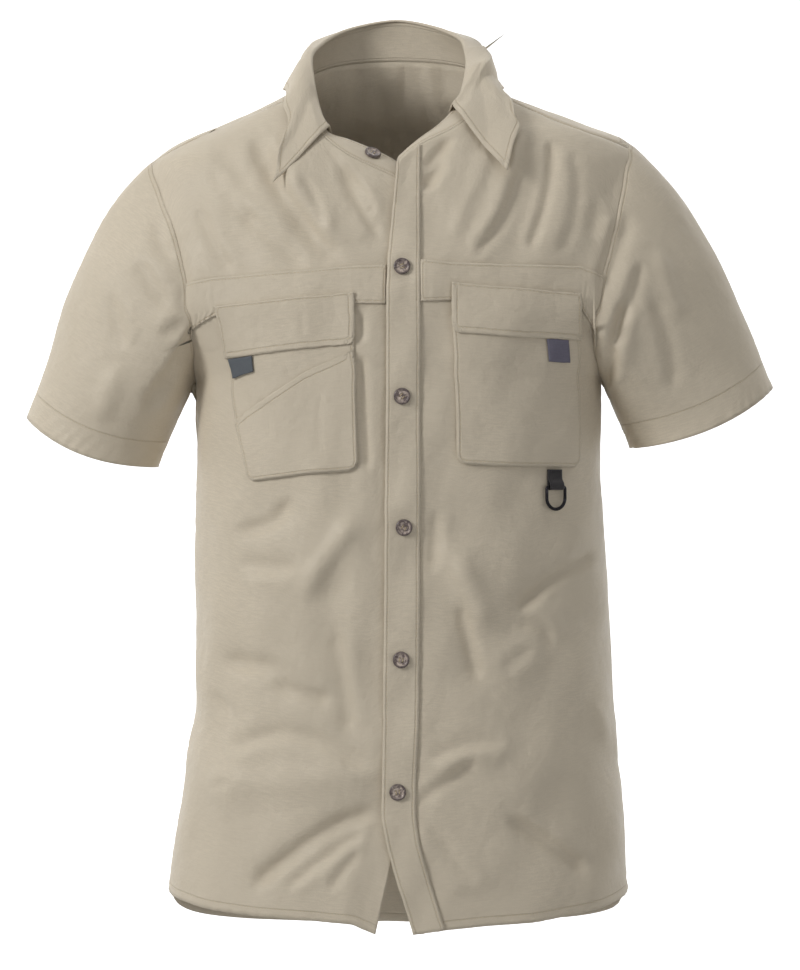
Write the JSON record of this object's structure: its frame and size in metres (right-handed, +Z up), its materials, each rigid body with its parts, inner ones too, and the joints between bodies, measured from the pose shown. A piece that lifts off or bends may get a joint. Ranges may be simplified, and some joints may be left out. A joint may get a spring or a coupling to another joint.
{
  "type": "short-sleeved button shirt",
  "caption": "Short-sleeved button shirt in worn form with no wearer: pointed collar, chest bands, flap pockets and a webbing loop with a metal ring.",
  "frame": {"origin": "centre of the neck at shoulder height, where the wearer's neck and shoulders hold the shirt", "axes": "+X towards the wearer's left, -Y out of the chest, +Z up along the body"},
  "size_m": [0.6868, 0.2526, 0.8511],
  "materials": {
    "cloth": "light plain-woven nylon with a soft sheen, sand beige",
    "tab_grey": "matt woven tape, grey",
    "tab_slate": "matt woven tape, slate",
    "webbing": "black ribbed webbing",
    "ring_metal": "satin black",
    "button": "semi-gloss mottled grey-brown"
  },
  "bodies": {
    "shirt": {"front_left": "cloth", "front_right": "cloth", "back": "cloth", "yoke": "cloth", "sleeve_left": "cloth", "sleeve_right": "cloth", "collar_stand": "cloth", "collar_leaf": "cloth", "placket": "cloth", "band_left": "cloth", "band_right": "cloth", "pocket_left": "cloth", "pocket_left_cover": "cloth", "pocket_right": "cloth", "pocket_right_cover": "cloth", "flap_left": "cloth", "flap_right": "cloth", "tab_left": "tab_slate", "tab_right": "tab_grey", "ring_loop": "webbing", "button_1": "button", "button_2": "button", "button_3": "button", "button_4": "button", "button_5": "button", "button_collar": "button"},
    "ring": {"d_ring": "ring_metal"}
  },
  "joints": [
    {"name": "ring_swing", "type": "hinge", "parent": "shirt", "child": "ring", "pos_m": [0.13923, -0.09394, -0.365], "axis": [-0.8351, -0.5502, 0], "range_deg": [0, 140]}
  ]
}
